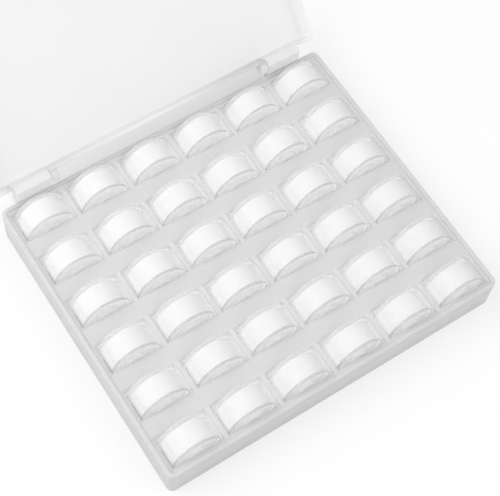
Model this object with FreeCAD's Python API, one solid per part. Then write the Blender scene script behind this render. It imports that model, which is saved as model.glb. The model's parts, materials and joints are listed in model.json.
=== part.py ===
import FreeCAD, Part
import math
import os

os.makedirs("parts", exist_ok=True)
Vector = FreeCAD.Vector
x_axis = Vector(1, 0, 0)
y_axis = Vector(0, 1, 0)
z_axis = Vector(0, 0, 1)

# Frame: origin on the underside of the base, in its middle. X runs along the hinge, Y to the
# hinge side, Z up. The lid is drawn closed and then turned back to where it rests open.

# bobbin, a class 15 spool
flange_diameter = 20.3
flange_thickness = 1.4
bobbin_width = 11.5
hub_diameter = 10.4
bore_diameter = 6.1
rim_round = 0.25

# thread wound on it
thread_diameter = 19.0
thread_crown = 0.3

# tray pattern
columns = 6
rows = 6
partition_thickness = 2.4
bar_width = 8.2
pocket_side_clearance = 0.45
pocket_end_clearance = 0.6
pocket_floor_clearance = 0.45

# base moulding
floor_thickness = 1.4
wall_thickness = 1.6
side_land = 1.6
end_land = 1.7
rim_height = 16.7
deck_drop = 0.8
bar_wall = 1.2
base_corner_radius = 2.6
foot_round = 0.8

# lid moulding
lid_panel = 1.2
lid_wall = 1.3
lid_rim_gap = 0.3
bobbin_headroom = 1.25
lid_edge_round = 0.6
lid_inner_round = 1.0

# hinge
opening_angle = 137.0
axis_behind_base = 2.1
axis_above_rim = 3.4
pin_diameter = 2.0
pin_fit = 0.08
lug_length = 15.2
lug_inset = 8.0
lug_head_radius = 2.9
lug_foot_drop = 7.5
lug_bore_depth = 9.0
pin_end_gap = 0.6
ear_thickness = 3.0
ear_gap = 0.4
notch_gap = 0.6

# sizes that follow from those
flange_radius = flange_diameter / 2
pocket_width = flange_diameter + 2 * pocket_side_clearance
pocket_length = bobbin_width + 2 * pocket_end_clearance
column_pitch = pocket_width + partition_thickness
row_pitch = pocket_length + bar_width
inner_width = (columns - 1) * column_pitch + pocket_width + 2 * side_land
inner_depth = (rows - 1) * row_pitch + pocket_length + 2 * end_land
base_width = inner_width + 2 * wall_thickness
base_depth = inner_depth + 2 * wall_thickness
deck_height = rim_height - deck_drop
axle_height = floor_thickness + pocket_floor_clearance + flange_radius
inner_corner_radius = base_corner_radius - wall_thickness
lid_bottom = rim_height + lid_rim_gap
lid_inside = axle_height + flange_radius + bobbin_headroom
lid_top = lid_inside + lid_panel
back_face = base_depth / 2
hinge_y = back_face + axis_behind_base
hinge_z = rim_height + axis_above_rim
hinge_point = Vector(0, hinge_y, hinge_z)
lug_outer_x = base_width / 2 - lug_inset
lug_inner_x = lug_outer_x - lug_length
ear_inner_x = lug_inner_x - ear_gap - ear_thickness
level_tolerance = 1e-4


def column_x(column):
    return (column - (columns - 1) / 2) * column_pitch


def row_y(row):
    return ((rows - 1) / 2 - row) * row_pitch


def block(x0, x1, y0, y1, z0, z1):
    return Part.makeBox(x1 - x0, y1 - y0, z1 - z0, Vector(x0, y0, z0))


def upright_block(width, depth, z0, z1, radius):
    """A block centred on the Z axis whose four upright edges are rounded."""
    body = block(-width / 2, width / 2, -depth / 2, depth / 2, z0, z1)
    upright = [e for e in body.Edges if e.BoundBox.ZLength > level_tolerance]
    return body.makeFillet(radius, upright)


def edges_at_height(shape, height):
    boxes = [(e, e.BoundBox) for e in shape.Edges]
    return [e for e, box in boxes if max(abs(box.ZMin - height), abs(box.ZMax - height)) < level_tolerance]


def disc(radius, y0, y1, centre):
    return Part.makeCylinder(radius, y1 - y0, Vector(centre.x, y0, centre.z), y_axis)


def save(name, solids):
    shape = solids[0] if len(solids) == 1 else Part.makeCompound(solids)
    shape.exportStep(f"parts/{name}.step")


def base_shell():
    body = upright_block(base_width, base_depth, 0, rim_height, base_corner_radius)
    body = body.makeFillet(foot_round, edges_at_height(body, 0))
    hollow = upright_block(inner_width, inner_depth, floor_thickness, rim_height, inner_corner_radius)
    return body.cut(hollow)


def bar_limits(bar):
    """Front and back of the bar behind a row, or of the strip along the front wall."""
    front = -inner_depth / 2 if bar == rows else row_y(bar) + pocket_length / 2
    back = inner_depth / 2 if bar == 0 else row_y(bar - 1) - pocket_length / 2
    return front, back


def inside_shell(shape):
    """What fits in the hollow of the base, with its rounded corners."""
    hollow = upright_block(inner_width, inner_depth, floor_thickness, deck_height, inner_corner_radius)
    return shape.common(hollow).Solids[0]


def row_bar(bar):
    front, back = bar_limits(bar)
    body = block(-inner_width / 2, inner_width / 2, front, back, floor_thickness, deck_height)
    if back - front > 3 * bar_wall:
        body = body.cut(
            block(
                -inner_width / 2 + bar_wall,
                inner_width / 2 - bar_wall,
                front + bar_wall,
                back - bar_wall,
                floor_thickness,
                deck_height - bar_wall,
            )
        )
    return inside_shell(body)


def row_partitions(row):
    """Plates between the pockets of one row, and the two that close its ends."""
    front = row_y(row) - pocket_length / 2
    back = row_y(row) + pocket_length / 2
    plates = []
    for gap in range(columns + 1):
        left = -inner_width / 2 if gap == 0 else column_x(gap - 1) + pocket_width / 2
        right = inner_width / 2 if gap == columns else column_x(gap) - pocket_width / 2
        plates.append(inside_shell(block(left, right, front, back, floor_thickness, deck_height)))
    return plates


def hinge_profile(x0, x1, outline):
    face = Part.Face(Part.Wire(outline))
    return face.extrude(Vector(x1 - x0, 0, 0))


def hinge_lug(side):
    """A lug on the back of the base: a round head about the hinge axis on a sloping foot."""
    x0 = lug_inner_x if side > 0 else -lug_outer_x
    x1 = x0 + lug_length
    back = hinge_y + lug_head_radius
    foot_z = rim_height - lug_foot_drop
    shoulder_z = rim_height - axis_behind_base
    points = [
        Vector(x0, back_face, foot_z),
        Vector(x0, back, shoulder_z),
        Vector(x0, back, hinge_z),
        Vector(x0, hinge_y, hinge_z + lug_head_radius),
        Vector(x0, back_face, hinge_z + math.sqrt(lug_head_radius**2 - axis_behind_base**2)),
    ]
    head = lug_head_radius * math.sqrt(0.5)
    outline = [
        Part.makeLine(points[0], points[1]),
        Part.makeLine(points[1], points[2]),
        Part.Arc(points[2], Vector(x0, hinge_y + head, hinge_z + head), points[3]).toShape(),
        Part.Arc(
            points[3],
            Vector(
                x0,
                hinge_y - axis_behind_base / 2,
                hinge_z + math.sqrt(lug_head_radius**2 - (axis_behind_base / 2) ** 2),
            ),
            points[4],
        ).toShape(),
        Part.makeLine(points[4], points[0]),
    ]
    lug = hinge_profile(x0, x1, outline)
    start = lug_inner_x if side > 0 else -lug_inner_x
    bore = Part.makeCylinder(
        pin_diameter / 2 + pin_fit, lug_bore_depth, Vector(start, hinge_y, hinge_z), x_axis * side
    )
    return lug.cut(bore)


def lid_ear(side):
    """An ear on the back wall of the lid that carries the hinge pin."""
    x0 = ear_inner_x if side > 0 else -ear_inner_x - ear_thickness
    reach = lug_head_radius - lid_rim_gap
    head = Part.makeCylinder(reach, ear_thickness, Vector(x0, hinge_y, hinge_z), x_axis)
    web = block(x0, x0 + ear_thickness, back_face - lid_wall, hinge_y, hinge_z - reach, hinge_z + reach)
    bore = Part.makeCylinder(pin_diameter / 2, ear_thickness, Vector(x0, hinge_y, hinge_z), x_axis)
    return head.fuse(web).cut(bore)


def opened(shape):
    """The lid's pieces turned from closed to where they rest in the open box."""
    shape.rotate(hinge_point, x_axis, -opening_angle)
    return shape


def lid_shell():
    body = upright_block(base_width, base_depth, lid_bottom, lid_top, base_corner_radius)
    body = body.makeFillet(lid_edge_round, edges_at_height(body, lid_top))
    inside_width = base_width - 2 * lid_wall
    inside_depth = base_depth - 2 * lid_wall
    hollow = upright_block(inside_width, inside_depth, lid_bottom, lid_inside, base_corner_radius - lid_wall)
    hollow = hollow.makeFillet(lid_inner_round, edges_at_height(hollow, lid_inside))
    body = body.cut(hollow)
    for side in (1, -1):
        x0 = lug_inner_x - notch_gap if side > 0 else -lug_outer_x - notch_gap
        x1 = x0 + lug_length + 2 * notch_gap
        body = body.cut(block(x0, x1, back_face - lid_wall, back_face, lid_bottom, lid_inside))
        body = body.fuse(lid_ear(side))
    return opened(body.removeSplitter())


def hinge_pin(side):
    length = ear_thickness + ear_gap + lug_bore_depth - pin_end_gap
    start = Vector(side * ear_inner_x, hinge_y, hinge_z)
    return opened(Part.makeCylinder(pin_diameter / 2, length, start, x_axis * side))


def spool(centre):
    front = centre.y - bobbin_width / 2
    back = centre.y + bobbin_width / 2
    body = disc(hub_diameter / 2, front, back, centre)
    for y0 in (front, back - flange_thickness):
        flange = disc(flange_radius, y0, y0 + flange_thickness, centre)
        rim = [e for e in flange.Edges if e.BoundBox.YLength < level_tolerance]
        body = body.fuse(flange.makeFillet(rim_round, rim))
    return body.cut(disc(bore_diameter / 2, front, back, centre)).removeSplitter()


def winding(centre):
    """The thread as it looks wound full: a barrel from flange to flange, a little fuller in the middle."""
    front = centre.y - bobbin_width / 2 + flange_thickness
    back = centre.y + bobbin_width / 2 - flange_thickness
    edge = thread_diameter / 2 - thread_crown
    inner = hub_diameter / 2
    corners = [
        Vector(centre.x, front, centre.z + inner),
        Vector(centre.x, front, centre.z + edge),
        Vector(centre.x, back, centre.z + edge),
        Vector(centre.x, back, centre.z + inner),
    ]
    crown = Vector(centre.x, centre.y, centre.z + thread_diameter / 2)
    outline = [
        Part.makeLine(corners[0], corners[1]),
        Part.Arc(corners[1], crown, corners[2]).toShape(),
        Part.makeLine(corners[2], corners[3]),
        Part.makeLine(corners[3], corners[0]),
    ]
    return Part.Face(Part.Wire(outline)).revolve(centre, y_axis, 360)


save("base_shell", [base_shell()])
for bar in range(rows + 1):
    save(f"row_bar_{bar}", [row_bar(bar)])
for row in range(rows):
    save(f"row_partitions_{row}", row_partitions(row))
for side, word in ((1, "right"), (-1, "left")):
    save(f"hinge_lug_{word}", [hinge_lug(side)])
    save(f"hinge_pin_{word}", [hinge_pin(side)])
save("lid_shell", [lid_shell()])
for row in range(rows):
    for column in range(columns):
        centre = Vector(column_x(column), row_y(row), axle_height)
        save(f"bobbin_{row}_{column}", [spool(centre), winding(centre)])

print("base", base_width, base_depth, rim_height, "lid top", lid_top, "hinge", hinge_y, hinge_z)
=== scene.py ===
import json
import math
import bpy
from mathutils import Matrix, Vector

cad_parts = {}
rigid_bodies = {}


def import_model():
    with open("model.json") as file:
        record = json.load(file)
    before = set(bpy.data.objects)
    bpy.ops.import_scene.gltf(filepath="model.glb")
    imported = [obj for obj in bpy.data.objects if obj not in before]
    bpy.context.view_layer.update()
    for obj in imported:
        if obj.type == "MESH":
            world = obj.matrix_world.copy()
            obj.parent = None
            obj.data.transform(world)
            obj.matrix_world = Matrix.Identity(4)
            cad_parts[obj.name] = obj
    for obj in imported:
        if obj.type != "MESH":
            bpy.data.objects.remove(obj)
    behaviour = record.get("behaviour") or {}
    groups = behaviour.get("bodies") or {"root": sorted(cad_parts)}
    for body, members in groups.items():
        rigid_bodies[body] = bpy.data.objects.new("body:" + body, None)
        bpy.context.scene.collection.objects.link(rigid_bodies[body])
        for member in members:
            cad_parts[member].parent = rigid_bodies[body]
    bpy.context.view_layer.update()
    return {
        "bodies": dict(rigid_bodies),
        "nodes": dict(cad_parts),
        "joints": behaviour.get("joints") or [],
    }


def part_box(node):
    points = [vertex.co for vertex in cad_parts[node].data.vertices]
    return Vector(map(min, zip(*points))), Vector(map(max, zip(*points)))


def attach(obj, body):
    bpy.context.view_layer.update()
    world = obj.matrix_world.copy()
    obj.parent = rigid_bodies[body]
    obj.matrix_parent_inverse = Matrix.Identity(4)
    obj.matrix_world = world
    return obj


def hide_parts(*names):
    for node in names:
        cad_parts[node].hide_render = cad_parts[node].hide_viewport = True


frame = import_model()
scene = bpy.context.scene
scene.view_settings.view_transform = "Standard"
millimetre = 0.001  # lengths below are in millimetres, and Blender's are in metres


def span(node):
    low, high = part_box(node)
    return low / millimetre, high / millimetre


def between(a, b, part):
    return a + (b - a) * part


# sizes read from the frame
baseLow, baseHigh = span("base_shell")
baseWidth = baseHigh.x - baseLow.x
baseDepth = baseHigh.y - baseLow.y
barLow, barHigh = span("row_bar_1")
pocketFloor = barLow.z
deckHeight = barHigh.z
lugSpans = {word: span(f"hinge_lug_{word}") for word in ("left", "right")}
lidHinge = next(j for j in frame["joints"] if j["name"] == "lid_hinge")
hingeAt = Vector(lidHinge["pos_m"]) / millimetre
closingAngle = math.radians(lidHinge["range_deg"][1] - lidHinge["range_deg"][0])
bobbinNames = [n for n in frame["bodies"] if n.startswith("bobbin_")]


# a socket that takes part in sums
class Wire:
    def __init__(self, tree, socket):
        self.tree = tree
        self.socket = socket

    def into(self, socket):
        self.tree.links.new(self.socket, socket)

    def sum(self, operation, first, second=0.0):
        step = self.tree.nodes.new("ShaderNodeMath")
        step.operation = operation
        feed(step.inputs[0], first)
        feed(step.inputs[1], second)
        return Wire(self.tree, step.outputs[0])

    def __add__(self, other):
        return self.sum("ADD", self, other)

    def __radd__(self, other):
        return self.sum("ADD", other, self)

    def __sub__(self, other):
        return self.sum("SUBTRACT", self, other)

    def __rsub__(self, other):
        return self.sum("SUBTRACT", other, self)

    def __mul__(self, other):
        return self.sum("MULTIPLY", self, other)

    def __rmul__(self, other):
        return self.sum("MULTIPLY", other, self)

    def __abs__(self):
        return self.sum("ABSOLUTE", self)

    def larger(self, other):
        return self.sum("MAXIMUM", self, other)


# a wire is linked to the socket, and a plain value is set on it
def feed(socket, value):
    if isinstance(value, Wire):
        value.into(socket)
    else:
        socket.default_value = value


class Finish:
    def __init__(self, tree, output):
        self.tree = tree
        tree.nodes.clear()
        self.output = tree.nodes.new(output)

    # any node: its type, then its settings, then the values or wires of its sockets
    def node(self, kind, settings, sockets, out=0):
        made = self.tree.nodes.new(kind)
        for key, value in settings.items():
            setattr(made, key, value)
        for key, value in sockets.items():
            feed(made.inputs[key], value)
        return Wire(self.tree, made.outputs[out])

    def show(self, shader):
        shader.into(self.output.inputs["Surface"])

    # coordinates that stay with the piece when it moves
    def place(self):
        return self.node("ShaderNodeTexCoord", {}, {}, "Object")

    def axis(self, vector, letter):
        return self.node("ShaderNodeSeparateXYZ", {}, {"Vector": vector}, letter)

    # distance from the Y axis of the piece
    def fromAxle(self, place):
        flat = self.node("ShaderNodeVectorMath", {"operation": "MULTIPLY"}, {0: place, 1: (1.0, 0.0, 1.0)})
        return self.node("ShaderNodeVectorMath", {"operation": "LENGTH"}, {0: flat}, "Value")

    # goes from low to high as the value goes from start to end, which are lengths unless unit is 1
    def fade(self, value, start, end, low=0.0, high=1.0, unit=millimetre, ease="LINEAR"):
        return self.node(
            "ShaderNodeMapRange",
            {"interpolation_type": ease},
            {
                "Value": value,
                "From Min": start * unit,
                "From Max": end * unit,
                "To Min": low,
                "To Max": high,
            },
        )

    def noise(self, place, scale, detail):
        return self.node("ShaderNodeTexNoise", {}, {"Vector": place, "Scale": scale, "Detail": detail})

    def bump(self, height, strength, depth):
        return self.node(
            "ShaderNodeBump", {}, {"Height": height, "Strength": strength, "Distance": depth * millimetre}
        )

    # a grey whose lightness comes from a wire
    def greyOf(self, light):
        return self.node("ShaderNodeCombineColor", {}, {"Red": light, "Green": light, "Blue": light})


def newFinish(name):
    made = bpy.data.materials.new(name)
    made.use_nodes = True
    return made, Finish(made.node_tree, "ShaderNodeOutputMaterial")


def grey(value):
    return (value, value, value, 1.0)


noiseMiddle = 0.5

# frosted plastic of the box: cloudy, with a fine matt skin, and, where it has one, a painted glow below
# glowTop: emission that stands in for light in hollows and gaps
frosted = dict(
    shade=0.69, cloud=0.03, cloudScale=38.0, cloudDetail=3.0, roughness=0.42, roughnessSpread=0.14,
    skinScale=2600.0, skinDetail=2.0, skinDepth=0.02, skinStrength=0.35, ior=1.49,
    letsThrough=0.35, throughShade=0.98, glow=0.0, glowTop=0.0, glowBottom=-6.0,
)


def frostedPlastic(name, look):
    material, shop = newFinish(name)
    place = shop.place()
    cloud = shop.noise(place, look["cloudScale"], look["cloudDetail"])
    skin = shop.noise(place, look["skinScale"], look["skinDetail"])
    light = look["shade"] + (cloud - noiseMiddle) * look["cloud"]
    # painted glow: emission that grows from glowTop down to glowBottom, standing in for light let through
    # the plastic
    depth = shop.fade(shop.axis(place, "Z"), look["glowTop"], look["glowBottom"], 0.0, look["glow"])
    skinShader = shop.node(
        "ShaderNodeBsdfPrincipled",
        {},
        {
            "Base Color": shop.greyOf(light),
            "Roughness": look["roughness"] + (skin - noiseMiddle) * look["roughnessSpread"],
            "Normal": shop.bump(skin, look["skinStrength"], look["skinDepth"]),
            "IOR": look["ior"],
            "Emission Color": shop.greyOf(depth),
            "Emission Strength": 1.0,
        },
    )
    through = shop.node("ShaderNodeBsdfTranslucent", {}, {"Color": grey(look["throughShade"])})
    shop.show(shop.node("ShaderNodeMixShader", {}, {0: look["letsThrough"], 1: skinShader, 2: through}))
    return material


# clear spools: see-through, a little cloudy, rubbed here and there, with painted glints on the rubbed spots
# and a painted glow on the flanges inside the rim; the rim is denser, with painted shade that is darker in
# front
clear = dict(
    shade=0.96, rimShade=0.52, rimStart=9.9, rimEnd=10.1, face=0.3, rim=0.5, glow=0.16, sparkle=0.3,
    backShare=0.5, frontFrom=-3.0, frontTo=-4.0, roughness=0.08, ior=1.5,
    rubScale=900.0, rubDetail=4.0, rubFrom=0.55, rubTo=0.8, rubRoughness=0.2, rubCover=0.05,
)


def clearPlastic(name, look):
    material, shop = newFinish(name)
    place = shop.place()
    rub = shop.noise(place, look["rubScale"], look["rubDetail"])
    wornAndGlints = shop.fade(rub, look["rubFrom"], look["rubTo"], unit=1.0)
    atRim = shop.fade(shop.fromAxle(place), look["rimStart"], look["rimEnd"])
    along = shop.axis(place, "Y")
    inFront = shop.fade(along, look["frontFrom"], look["frontTo"], look["backShare"], 1.0)
    # painted shade on the rim: full on the front flange, backShare of it behind
    paintedRimShade = atRim * inFront
    light = look["shade"] + paintedRimShade * (look["rimShade"] - look["shade"])
    # painted light: a glow on the flanges inside the rim, and painted glints on the rubbed spots
    inner = (look["glow"] + wornAndGlints * look["sparkle"]) * (1.0 - atRim)
    shop.show(
        shop.node(
            "ShaderNodeBsdfPrincipled",
            {},
            {
                "Base Color": shop.greyOf(light),
                "Emission Color": shop.greyOf(inner),
                "Emission Strength": 1.0,
                "Roughness": look["roughness"] + wornAndGlints * look["rubRoughness"],
                "Alpha": look["face"] + paintedRimShade * (look["rim"] - look["face"]) + wornAndGlints * look["rubCover"],
                "IOR": look["ior"],
            },
        )
    )
    return material


# thread: white, soft, a little uneven from turn to turn, with painted shade in the grooves between turns,
# and a painted glow on its barrel while it is down in its slot, standing in for light there
yarn = dict(
    shade=0.84, spread=0.05, unevenScale=320.0, unevenDetail=3.0, paintedGrooveShade=0.03,
    turnPitch=0.22, turnDepth=0.06, turnStrength=0.5, turnWander=0.35,
    roughness=0.62, roughnessSpread=0.2, fuzz=0.3, fuzzRoughness=0.5,
    glow=0.18, glowTop=deckHeight + 1.0, glowBottom=deckHeight - 3.0, barrelFrom=8.9, barrelTo=9.15,
)
waveLength = 0.314  # from band to band of the wave node, in metres, at a scale of 1


def whiteThread(name, look):
    material, shop = newFinish(name)
    place = shop.place()
    uneven = shop.noise(place, look["unevenScale"], look["unevenDetail"])
    turns = shop.node(
        "ShaderNodeTexWave",
        {"wave_type": "BANDS", "bands_direction": "Y", "wave_profile": "SIN"},
        {
            "Vector": place,
            "Scale": waveLength / (look["turnPitch"] * millimetre),
            "Distortion": look["turnWander"],
        },
        out=1,
    )
    # darker in the grooves between turns: painted shade
    light = look["shade"] + (uneven - noiseMiddle) * look["spread"] + (turns - 1.0) * look["paintedGrooveShade"]
    onBarrel = shop.fade(shop.fromAxle(place), look["barrelFrom"], look["barrelTo"])
    # painted glow on the barrel below the deck, by its height in the world
    spot = shop.node("ShaderNodeNewGeometry", {}, {}, "Position")
    depth = shop.fade(shop.axis(spot, "Z"), look["glowTop"], look["glowBottom"], 0.0, look["glow"])
    shop.show(
        shop.node(
            "ShaderNodeBsdfPrincipled",
            {},
            {
                "Base Color": shop.greyOf(light),
                "Emission Color": shop.greyOf(depth * onBarrel),
                "Emission Strength": 1.0,
                "Roughness": look["roughness"] + uneven * look["roughnessSpread"],
                "Normal": shop.bump(turns, look["turnStrength"], look["turnDepth"]),
                "Sheen Weight": look["fuzz"],
                "Sheen Roughness": look["fuzzRoughness"],
            },
        )
    )
    return material


# what each moulding changes in the frosted plastic; their glows and lighter shades are painted light
# deck: a painted glow on the slot walls below the deck, lifting the shade in the slots
deckFrost = dict(letsThrough=0.3, glow=0.3, glowTop=deckHeight - 0.2, glowBottom=deckHeight - 2.5)
# lugs and ears: painted lighter than the base, a lit copy of the same plastic, with a painted glow that
# grows down from the lug's top
lugTop = lugSpans["right"][1].z
lugFrost = dict(shade=0.82, letsThrough=0.4, glow=0.1, glowTop=lugTop, glowBottom=lugTop - 4.0)
# lid and hinge pins: painted lighter than the base, a lit copy of the same plastic, with a painted glow
# that grows below the hinge height
lidFrost = dict(
    shade=0.83, letsThrough=0.5, glow=0.12, glowTop=hingeAt.z + 1.4, glowBottom=hingeAt.z - 1.6
)
boxPlastic = frostedPlastic("frostedBox", frosted)
deckPlastic = frostedPlastic("frostedDeck", {**frosted, **deckFrost})
lugPlastic = frostedPlastic("frostedLug", {**frosted, **lugFrost})
lidPlastic = frostedPlastic("frostedLid", {**frosted, **lidFrost})
spoolPlastic = clearPlastic("clearSpool", clear)
threadWhite = whiteThread("whiteThread", yarn)
print("finishes made")


def newMesh(name, points, faces):
    mesh = bpy.data.meshes.new(name)
    mesh.from_pydata([Vector(p) * millimetre for p in points], [], faces)
    mesh.validate()
    return mesh


def newObject(name, data):
    made = bpy.data.objects.new(name, data)
    scene.collection.objects.link(made)
    return made


# angles in degrees: where shading breaks, and from where an edge is rounded
edges = dict(sharp=40, rounded=35)


def dress(mesh, material):
    mesh.materials.append(material)
    mesh.shade_smooth()
    mesh.set_sharp_from_angle(angle=math.radians(edges["sharp"]))


# a moulding of the box that rides on a body
def makePiece(name, shape, body, material, bevel=0.0, steps=2):
    points, faces = shape
    mesh = newMesh(name, points, faces)
    dress(mesh, material)
    piece = newObject(name, mesh)
    if bevel:
        rounding = piece.modifiers.new("rounding", "BEVEL")
        rounding.width = bevel * millimetre
        rounding.segments = steps
        rounding.limit_method = "ANGLE"
        rounding.angle_limit = math.radians(edges["rounded"])
        rounding.harden_normals = True
    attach(piece, body)
    return piece


# pairs of points along an arc about (u, v), between two angles in degrees
def arc(u, v, radius, start, end, steps=3):
    pairs = []
    for k in range(steps + 1):
        turn = math.radians(between(start, end, k / steps))
        pairs.append((u + radius * math.cos(turn), v + radius * math.sin(turn)))
    return pairs


# points round a rounded rectangle, level with z
def ring(width, depth, radius, z, steps=8):
    points = []
    for x, y, start in ((1, 1, 0), (-1, 1, 90), (-1, -1, 180), (1, -1, 270)):
        corner = arc(x * (width / 2 - radius), y * (depth / 2 - radius), radius, start, start + 90, steps)
        points += [(u, v, z) for u, v in corner]
    return points


tightestCorner = 0.4


# a pan: the section (inset, height) swept round a rounded rectangle, closed at both ends
def panShape(width, depth, corner, section):
    points = []
    faces = []
    for inset, z in section:
        points += ring(width - 2 * inset, depth - 2 * inset, max(corner - inset, tightestCorner), z)
    around = len(points) // len(section)
    for level in range(len(section) - 1):
        for k in range(around):
            a = level * around + k
            b = level * around + (k + 1) % around
            faces.append((a, b, b + around, a + around))
    faces.append(tuple(reversed(range(around))))
    faces.append(tuple(range(len(points) - around, len(points))))
    return points, faces


# the outer pan of the base
baseSizes = dict(wall=1.6, floor=1.4, corner=2.6, footRound=0.8, footFlat=0.6, rimRound=0.35, cove=1.0)


def makeBaseShell(size):
    top = baseHigh.z
    foot, rim, wall, cove = (size[k] for k in ("footRound", "rimRound", "wall", "cove"))
    section = [(foot + size["footFlat"], 0.0)]
    section += arc(foot, foot, foot, 270, 180)
    section += arc(rim, top - rim, rim, 180, 90)
    section += arc(wall - rim, top - rim, rim, 90, 0)
    section += [(wall, size["floor"] + cove), (wall + cove, size["floor"])]
    shape = panShape(baseWidth, baseDepth, size["corner"], section)
    return makePiece("baseShell", shape, "base", boxPlastic)


# the deck with its slots, one continuous sheet that dips into a pocket at each slot
deckSizes = dict(edgeRound=1.1, edgeSteps=3, underlap=0.5, slotClearance=0.45)


def makeDeck(size):
    inset = baseSizes["wall"] - size["underlap"]
    rows = sorted({n.split("_")[1] for n in bobbinNames}, reverse=True)
    backRow = sorted(n for n in bobbinNames if n.startswith("bobbin_0_"))
    xStops = [baseLow.x + inset]
    for name in backRow:
        low, high = span(name)
        xStops += [low.x - size["slotClearance"], high.x + size["slotClearance"]]
    xStops.append(baseHigh.x - inset)
    yStops = [baseLow.y + inset]
    for row in rows:
        low, high = span(f"row_partitions_{row}")
        yStops += [low.y, high.y]
    yStops.append(baseHigh.y - inset)
    points = []
    index = {}

    def corner(i, j, z):
        if (i, j, z) not in index:
            index[i, j, z] = len(points)
            points.append((xStops[i], yStops[j], z))
        return index[i, j, z]

    faces = []
    for i in range(len(xStops) - 1):
        for j in range(len(yStops) - 1):
            around = [(i, j), (i + 1, j), (i + 1, j + 1), (i, j + 1)]
            slotHere = i % 2 == 1 and j % 2 == 1
            level = pocketFloor if slotHere else deckHeight
            faces.append([corner(*at, level) for at in around])
            if slotHere:
                for at, to in zip(around, around[1:] + around[:1]):
                    upper = [corner(*at, deckHeight), corner(*to, deckHeight)]
                    lower = [corner(*to, pocketFloor), corner(*at, pocketFloor)]
                    faces.append(upper + lower)
    print("deck:", len(rows), "rows of", len(backRow), "slots")
    return makePiece("deckTray", (points, faces), "base", deckPlastic, size["edgeRound"], size["edgeSteps"])


# takes a box out of a piece, for good
def cutAway(piece, xs, ys, zs):
    points = [(x, y, z) for x in xs for y in ys for z in zs]
    faces = [(0, 1, 3, 2), (4, 6, 7, 5), (0, 4, 5, 1), (2, 3, 7, 6), (0, 2, 6, 4), (1, 5, 7, 3)]
    cutter = newObject("cutter", newMesh("cutter", points, faces))
    taking = piece.modifiers.new("taking", "BOOLEAN")
    taking.operation = "DIFFERENCE"
    taking.solver = "EXACT"
    taking.object = cutter
    bpy.context.view_layer.update()
    result = bpy.data.meshes.new_from_object(piece.evaluated_get(bpy.context.evaluated_depsgraph_get()))
    piece.modifiers.remove(taking)
    piece.data = result
    bpy.data.objects.remove(cutter)


# from shut, as the lid and its ears are drawn, to open, as they rest
def opened(piece):
    about = Matrix.Translation(hingeAt * millimetre)
    piece.data.transform(about @ Matrix.Rotation(-closingAngle, 4, "X") @ about.inverted())
    return piece


# the lid, a shallow pan upside down, with a notch for each lug
lidSizes = dict(
    panel=1.2, wall=1.3, rimGap=0.3, headroom=1.25, corner=2.6, edgeRound=0.6, innerRound=1.0,
    roundSteps=4, panelFlat=0.8, rimRound=0.3, notchGap=0.6, notchInside=0.01, notchBeyond=0.5,
)


def makeLid(size):
    bottom = baseHigh.z + size["rimGap"]
    inside = span("bobbin_0_0")[1].z + size["headroom"]
    top = inside + size["panel"]
    wall, rim, edge, inner = (size[k] for k in ("wall", "rimRound", "edgeRound", "innerRound"))
    steps, flat = size["roundSteps"], size["panelFlat"]
    section = [(wall + inner + flat, inside)]
    section += arc(wall + inner, inside - inner, inner, 90, 180, steps)
    section += arc(wall - rim, bottom + rim, rim, 0, -90)
    section += arc(rim, bottom + rim, rim, 270, 180)
    section += arc(edge, top - edge, edge, 180, 90, steps)
    section += [(edge + flat, top)]
    shape = panShape(baseWidth, baseDepth, size["corner"], section)
    lid = makePiece("lidShell", shape, "lid", lidPlastic)
    beyond = size["notchBeyond"]
    for low, high in lugSpans.values():
        cutAway(
            lid,
            (low.x - size["notchGap"], high.x + size["notchGap"]),
            (baseHigh.y - wall - size["notchInside"], baseHigh.y + beyond),
            (bottom - beyond, inside),
        )
    return opened(lid)


# a prism along X from an outline of (y, z) points
def prism(x0, x1, outline):
    count = len(outline)
    points = [(x, y, z) for x in (x0, x1) for y, z in outline]
    faces = [tuple(reversed(range(count))), tuple(range(count, 2 * count))]
    for here in range(count):
        beside = (here + 1) % count
        faces.append((here, beside, beside + count, here + count))
    return points, faces


# the round head of a lug or an ear, about the hinge
def headArc(radius, start, end, steps=14):
    return arc(hingeAt.y, hingeAt.z, radius, start, end, steps)


# a lug on the back of the base
lugSizes = dict(headRadius=2.9, shoulderDrop=2.1, edgeRound=0.35)


def makeLug(word, size):
    low, high = lugSpans[word]
    reach = baseHigh.y - hingeAt.y
    end = math.degrees(math.acos(reach / size["headRadius"]))
    outline = [(baseHigh.y, low.z), (high.y, baseHigh.z - size["shoulderDrop"])]
    outline += headArc(size["headRadius"], 0, end)
    shape = prism(low.x, high.x, outline)
    lug = makePiece(f"hingeLug.{word}", shape, "base", lugPlastic, size["edgeRound"])
    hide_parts(f"hinge_lug_{word}")


# an ear of the lid, beside its lug, with the end of the pin standing out of it by pinProud
earSizes = dict(thick=3.0, gap=0.4, reach=2.6, edgeRound=0.3, pinProud=0.15)


def makeEar(word, size):
    low, high = lugSpans[word]
    if word == "right":
        x1 = low.x - size["gap"]
        x0 = x1 - size["thick"] + size["pinProud"]
    else:
        x0 = high.x + size["gap"]
        x1 = x0 + size["thick"] - size["pinProud"]
    reach = size["reach"]
    back = baseHigh.y - lidSizes["wall"] / 2
    outline = [(back, hingeAt.z - reach)] + headArc(reach, -90, 90) + [(back, hingeAt.z + reach)]
    shape = prism(x0, x1, outline)
    opened(makePiece(f"lidEar.{word}", shape, "lid", lugPlastic, size["edgeRound"]))


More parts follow.
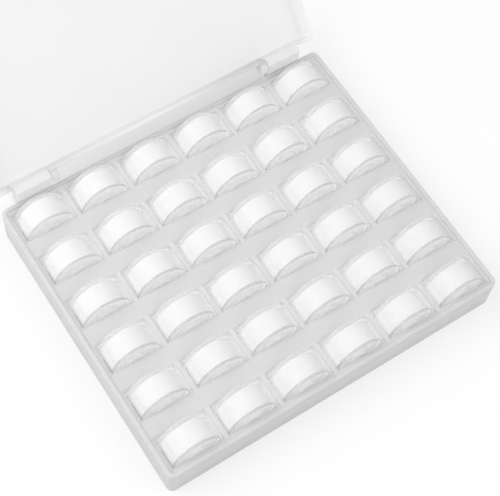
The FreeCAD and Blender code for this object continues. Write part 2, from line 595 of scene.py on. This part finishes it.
baseShell = makeBaseShell(baseSizes)
deckTray = makeDeck(deckSizes)
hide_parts("base_shell")
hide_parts(*[n for n in frame["nodes"] if n.startswith("row_")])
lidShell = makeLid(lidSizes)
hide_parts("lid_shell")
for word in lugSpans:
    makeLug(word, lugSizes)
    makeEar(word, earSizes)
    pin = frame["nodes"][f"hinge_pin_{word}"]
    pin.data.materials.clear()
    pin.data.materials.append(lidPlastic)
print("box, lid and hinge made")


# a piece turned about Y from an outline of (radius, y) points
def turned(outline, segments, closed, ridge=None):
    points = []
    faces = []
    count = len(outline)
    for segment in range(segments):
        turn = 2 * math.pi * segment / segments
        for radius, y in outline:
            reach = radius + (ridge(turn, y) if ridge else 0.0)
            points.append((reach * math.sin(turn), y, reach * math.cos(turn)))
    strips = count if closed else count - 1
    for segment in range(segments):
        here = segment * count
        beside = (segment + 1) % segments * count
        for low in range(strips):
            high = (low + 1) % count
            faces.append((here + low, here + high, beside + high, beside + low))
    return points, faces


# a spool: two flanges on a hub with a bore
spoolSizes = dict(flange=1.4, hub=5.2, bore=3.05, mouthRound=0.2, hubRound=0.2, rimRound=0.25, segments=56)


def spoolOutline(size, width, radius):
    half = width / 2
    inner = half - size["flange"]
    bore, hub = size["bore"], size["hub"]
    mouth, root, edge = (size[k] for k in ("mouthRound", "hubRound", "rimRound"))
    flange = [
        (bore, half - mouth), (bore + mouth, half),
        (radius - edge, half), (radius, half - edge),
        (radius, inner + edge), (radius - edge, inner),
        (hub + root, inner), (hub, inner - root),
    ]
    return flange + [(r, -y) for r, y in reversed(flange)]


# the thread on it, a barrel whose turns stand up as ridges
threadSizes = dict(
    radius=9.5, crown=0.3, crownPower=4, endGap=0.01, turns=22, ridge=0.05, ridgePower=12,
    perTurn=3, segments=60,
)


def threadOutline(size, width, hub):
    half = width / 2
    samples = size["turns"] * size["perTurn"]
    outline = [(hub, -half)]
    for k in range(samples + 1):
        y = between(-half, half, k / samples)
        outline.append((size["radius"] - size["crown"] * (y / half) ** size["crownPower"], y))
    outline.append((hub, half))
    return outline


def makeBobbins(spool, thread):
    low, high = span(bobbinNames[0])
    width = high.y - low.y
    radius = (high.z - low.z) / 2
    wound = width - 2 * spool["flange"]
    pitch = wound / thread["turns"]

    # a ridge climbs one pitch in a full turn and dies out at the flanges
    def turnRidge(turn, y):
        inside = 1 - min(1.0, abs(y) / (wound / 2)) ** thread["ridgePower"]
        return inside * thread["ridge"] * math.cos(2 * math.pi * y / pitch - turn)

    spoolLine = spoolOutline(spool, width, radius)
    threadLine = threadOutline(thread, wound - 2 * thread["endGap"], spool["hub"])
    meshes = {
        "spool": newMesh("spool", *turned(spoolLine, spool["segments"], True)),
        "thread": newMesh("thread", *turned(threadLine, thread["segments"], False, turnRidge)),
    }
    dress(meshes["spool"], spoolPlastic)
    dress(meshes["thread"], threadWhite)
    for number, name in enumerate(bobbinNames):
        low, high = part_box(name)
        quarterTurns = number * 3 % 4  # neighbours are turned differently
        for key, mesh in meshes.items():
            piece = newObject(f"{key}.{name.removeprefix('bobbin_')}", mesh)
            piece.location = (low + high) / 2
            piece.rotation_euler = (0, math.pi / 2 * quarterTurns, 0)
            bpy.context.view_layer.update()
            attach(piece, name)
            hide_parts(name)


makeBobbins(spoolSizes, threadSizes)
print("bobbins made:", len(bobbinNames))


# the view of the photograph, with angles in degrees
view = dict(
    azimuth=-39.874, elevation=63.069, roll=7.637, distance=522.448, target=(5.667, 5.972, 0.0),
    focalPixels=1327.99, imageWidth=500, sensor=36.0, nearest=10.0,
)


def makeCamera(aim):
    azimuth, elevation, roll = (math.radians(aim[k]) for k in ("azimuth", "elevation", "roll"))
    level = math.cos(elevation)
    back = Vector((math.sin(azimuth) * level, -math.cos(azimuth) * level, math.sin(elevation)))
    right = (-back).cross(Vector((0, 0, 1))).normalized()
    up = right.cross(-back)
    tilted = Matrix((right, up, back)).transposed() @ Matrix.Rotation(roll, 3, "Z")
    lens = bpy.data.cameras.new("photoView")
    lens.sensor_width = aim["sensor"]
    lens.sensor_fit = "HORIZONTAL"
    lens.lens = aim["focalPixels"] * aim["sensor"] / aim["imageWidth"]
    lens.clip_start = aim["nearest"] * millimetre
    camera = newObject("photoView", lens)
    place = (Vector(aim["target"]) + back * aim["distance"]) * millimetre
    camera.matrix_world = Matrix.Translation(place) @ tilted.to_4x4()
    scene.camera = camera


# a pale floor, a white surround and two soft lamps
studio = dict(
    ambient=0.62, floorShade=0.86, floorReach=3000.0, floorDrop=0.2,
    nearGlow=0.62, farGlow=0.88, glowFrom=2.0, glowTo=30.0,
    lidShade=0.43, lidShadeEdge=2.0, lidShadeStart=-2.0, lidShadeFrom=16.0, lidShadeTo=40.0,
    key=dict(at=(-460.0, 200.0, 500.0), size=600.0, watts=2.8),
    fill=dict(at=(350.0, -600.0, 700.0), size=900.0, watts=3.2),
)


def makeLamp(name, setup):
    light = bpy.data.lights.new(name, "AREA")
    light.size = setup["size"] * millimetre
    light.energy = setup["watts"]
    lamp = newObject(name, light)
    lamp.location = Vector(setup["at"]) * millimetre
    lamp.rotation_euler = (-lamp.location).to_track_quat("-Z", "Y").to_euler()


# white to the eye, a plain level of light to the object
def seenWhite(shop, level):
    kinds = ("Is Camera Ray", "Is Glossy Ray", "Is Transmission Ray")
    eye, gloss, through = (shop.node("ShaderNodeLightPath", {}, {}, kind) for kind in kinds)
    return eye.larger(gloss).larger(through) * level


# the floor's glow is weaker close to the base, a painted contact shadow, and weakest behind it, under the
# open lid, a painted shadow of the lid that stays when the lid is shut
def paleFloor(setup):
    material, shop = newFinish("paleFloor")
    cloth = shop.node("ShaderNodeBsdfDiffuse", {}, {"Color": grey(setup["floorShade"])})
    glow = shop.node("ShaderNodeEmission", {}, {"Color": grey(1.0), "Strength": 1.0})
    place = shop.place()
    across = abs(shop.axis(place, "X"))
    along = shop.axis(place, "Y")
    behind = along - baseHigh.y * millimetre
    outside = (across - baseHigh.x * millimetre).larger(abs(along) - baseHigh.y * millimetre)
    level = shop.fade(
        outside, setup["glowFrom"], setup["glowTo"], setup["nearGlow"], setup["farGlow"], ease="SMOOTHSTEP"
    )
    # painted shadow of the open lid on the floor behind the base, within the lugs' outer ends
    lugEnd = lugSpans["right"][1].x
    inward = shop.fade(across, lugEnd, lugEnd - setup["lidShadeEdge"])
    near = shop.fade(behind, setup["lidShadeTo"], setup["lidShadeFrom"])
    started = shop.fade(behind, setup["lidShadeStart"], 0.0)
    level = level - inward * near * started * setup["lidShade"]
    shop.show(shop.node("ShaderNodeMixShader", {}, {0: seenWhite(shop, level), 1: cloth, 2: glow}))
    return material


def makeStudio(setup):
    world = bpy.data.worlds.new("studio")
    scene.world = world
    world.use_nodes = True
    sky = Finish(world.node_tree, "ShaderNodeOutputWorld")
    strength = setup["ambient"] + seenWhite(sky, 1.0 - setup["ambient"])
    sky.show(sky.node("ShaderNodeBackground", {}, {"Color": grey(1.0), "Strength": strength}))
    reach = setup["floorReach"]
    corners = [(-reach, -reach, 0), (reach, -reach, 0), (reach, reach, 0), (-reach, reach, 0)]
    floor = newObject("paleFloor", newMesh("paleFloor", corners, [(0, 1, 2, 3)]))
    floor.data.materials.append(paleFloor(setup))
    floor.location.z = -setup["floorDrop"] * millimetre
    makeLamp("keyLight", setup["key"])
    makeLamp("fillLight", setup["fill"])


makeCamera(view)
makeStudio(studio)
print("camera and studio made")
